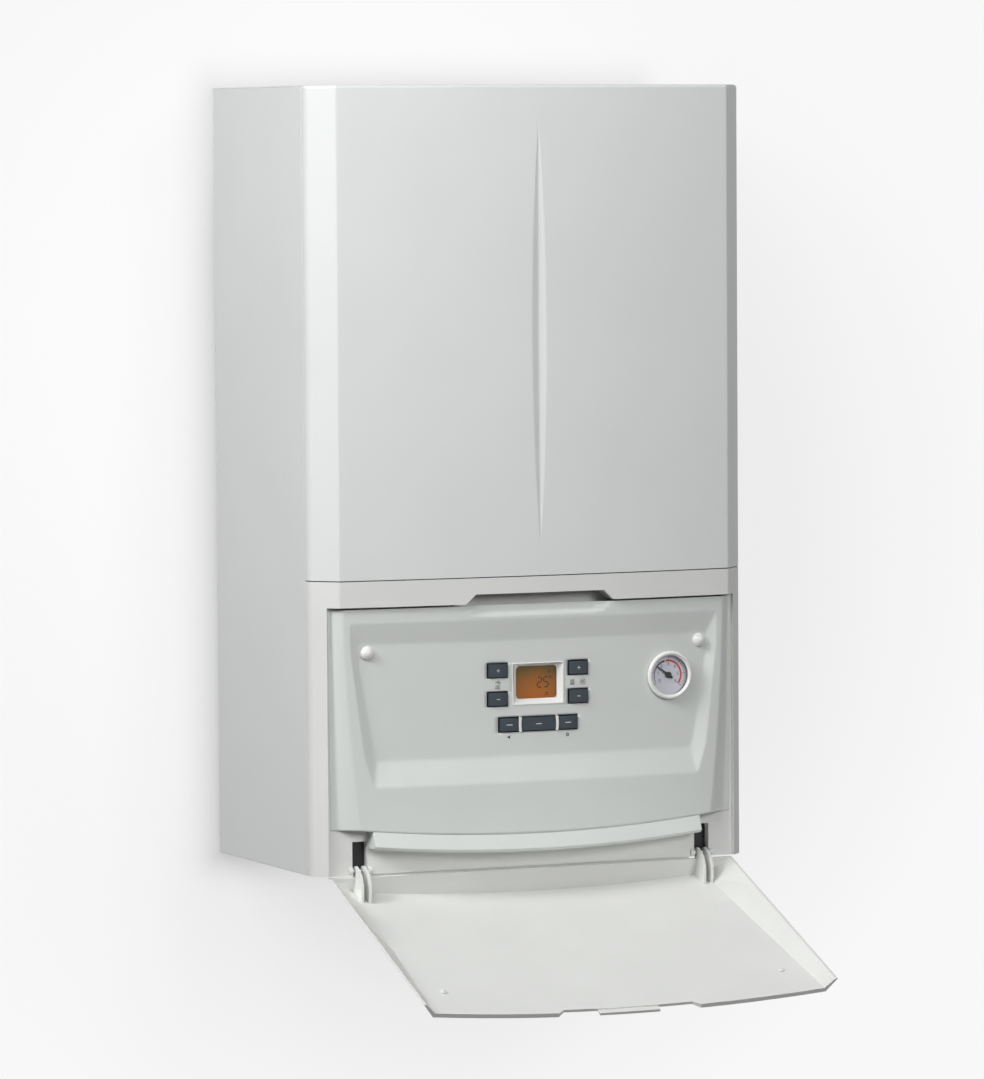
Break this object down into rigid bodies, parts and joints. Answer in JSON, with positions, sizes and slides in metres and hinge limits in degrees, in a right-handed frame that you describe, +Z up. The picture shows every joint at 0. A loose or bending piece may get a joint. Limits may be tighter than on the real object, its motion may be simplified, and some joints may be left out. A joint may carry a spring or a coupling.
{
  "type": "heat pump indoor unit",
  "caption": "Wall-hung indoor unit of an air to water heat pump: white casing with slanted corners, creased front, lower flap open over a control panel with display, buttons and pressure gauge.",
  "frame": {"origin": "on the wall plane, at the middle of the width, level with the bottom edge of the casing sides", "axes": "+Z up along the height, +Y into the wall, +X to the right seen from the front"},
  "size_m": [0.44, 0.4624, 0.8399],
  "materials": {
    "painted_steel": "satin powder coat",
    "galvanised": "zinc plated",
    "white_moulding": "fine spark-eroded grain",
    "grey_moulding": "fine spark-eroded grain",
    "gloss_white": "polished",
    "key_plastic": "satin",
    "amber_window": "tinted",
    "amber_display": "backlit",
    "clear_window": "polished",
    "dial_face": "printed",
    "black_plastic": "matt",
    "circuit_board": "solder mask",
    "plain_steel": "bright",
    "stainless": "pressed",
    "copper": "drawn tube",
    "brass": "machined",
    "cast_housing": "sprayed",
    "motor_can": "powder coat",
    "red_paint": "enamel",
    "red_plastic": "moulded",
    "membrane_rubber": "moulded",
    "foam": "expanded bead foam",
    "grey_plastic": "matt",
    "ivory_plastic": "matt"
  },
  "bodies": {
    "casing": {"wall_bracket": "galvanised", "back_frame": "galvanised", "bottom_plate": "galvanised", "left_side_panel": "painted_steel", "right_side_panel": "painted_steel", "top_panel": "painted_steel", "front_cover": "painted_steel", "control_frame": "white_moulding", "control_panel": "grey_moulding", "panel_screws": "plain_steel", "screw_covers": "gloss_white", "lcd_bezel": "gloss_white", "lcd_window": "amber_window", "lcd_module": "amber_display", "display_board": "circuit_board", "button_dividers": "gloss_white", "gauge_case": "grey_plastic", "gauge_ring": "gloss_white", "gauge_dial": "dial_face", "gauge_glass": "clear_window", "gauge_capillary": "copper", "control_box": "grey_plastic", "main_board": "circuit_board", "terminal_block": "ivory_plastic", "hinge_pins": "plain_steel", "plate_exchanger": "stainless", "exchanger_jacket": "foam", "inner_brackets": "galvanised", "vessel_shell": "red_paint", "vessel_membrane": "membrane_rubber", "vessel_pipe": "copper", "heater_tank": "stainless", "heater_element": "stainless", "air_vent": "brass", "pump_volute": "cast_housing", "pump_motor": "motor_can", "diverter_body": "brass", "diverter_motor": "black_plastic", "flow_sensor": "grey_plastic", "safety_valve": "brass", "discharge_pipe": "copper", "water_pipes": "copper", "gas_pipe": "copper", "liquid_pipe": "copper", "filling_cock": "brass", "cable_glands": "grey_plastic"},
    "flap": {"flap": "white_moulding", "catch_pegs": "white_moulding"},
    "gauge_needle": {"gauge_needle": "black_plastic"},
    "pump_rotor": {"pump_rotor": "plain_steel"},
    "diverter_spool": {"diverter_spool": "plain_steel"},
    "safety_knob": {"safety_knob": "red_plastic"},
    "cock_knob": {"cock_knob": "black_plastic"},
    "button_water_up": {"button_water_up": "key_plastic"},
    "button_water_down": {"button_water_down": "key_plastic"},
    "button_heating_up": {"button_heating_up": "key_plastic"},
    "button_heating_down": {"button_heating_down": "key_plastic"},
    "button_reset": {"button_reset": "key_plastic"},
    "button_mode": {"button_mode": "key_plastic"},
    "button_menu": {"button_menu": "key_plastic"}
  },
  "joints": [
    {"name": "flap_hinge", "type": "hinge", "parent": "casing", "child": "flap", "pos_m": [0, -0.239, 0.004], "axis": [1, 0, 0], "range_deg": [-112.5, 0]},
    {"name": "gauge_needle_turn", "type": "hinge", "parent": "casing", "child": "gauge_needle", "pos_m": [0.1363, -0.24, 0.174], "axis": [0, -1, 0], "range_deg": [-182, 69]},
    {"name": "pump_spin", "type": "hinge", "parent": "casing", "child": "pump_rotor", "pos_m": [0.15, -0.114, 0.16], "axis": [0, -1, 0], "continuous": true},
    {"name": "diverter_slide", "type": "slide", "parent": "casing", "child": "diverter_spool", "axis": [0, 1, 0], "range_m": [0, 0.008]},
    {"name": "safety_knob_turn", "type": "hinge", "parent": "casing", "child": "safety_knob", "pos_m": [0, -0.152, 0.62], "axis": [0, 0, 1], "range_deg": [0, 90]},
    {"name": "cock_knob_turn", "type": "hinge", "parent": "casing", "child": "cock_knob", "pos_m": [-0.105, -0.115, 0.026], "axis": [0, -1, 0], "range_deg": [0, 90]},
    {"name": "button_water_up_press", "type": "slide", "parent": "casing", "child": "button_water_up", "axis": [0, 1, 0], "range_m": [0, 0.0012], "stiffness_N_per_m": 400, "springref_m": -0.001},
    {"name": "button_water_down_press", "type": "slide", "parent": "casing", "child": "button_water_down", "axis": [0, 1, 0], "range_m": [0, 0.0012], "stiffness_N_per_m": 400, "springref_m": -0.001},
    {"name": "button_heating_up_press", "type": "slide", "parent": "casing", "child": "button_heating_up", "axis": [0, 1, 0], "range_m": [0, 0.0012], "stiffness_N_per_m": 400, "springref_m": -0.001},
    {"name": "button_heating_down_press", "type": "slide", "parent": "casing", "child": "button_heating_down", "axis": [0, 1, 0], "range_m": [0, 0.0012], "stiffness_N_per_m": 400, "springref_m": -0.001},
    {"name": "button_reset_press", "type": "slide", "parent": "casing", "child": "button_reset", "axis": [0, 1, 0], "range_m": [0, 0.0012], "stiffness_N_per_m": 400, "springref_m": -0.001},
    {"name": "button_mode_press", "type": "slide", "parent": "casing", "child": "button_mode", "axis": [0, 1, 0], "range_m": [0, 0.0012], "stiffness_N_per_m": 400, "springref_m": -0.001},
    {"name": "button_menu_press", "type": "slide", "parent": "casing", "child": "button_menu", "axis": [0, 1, 0], "range_m": [0, 0.0012], "stiffness_N_per_m": 400, "springref_m": -0.001}
  ]
}
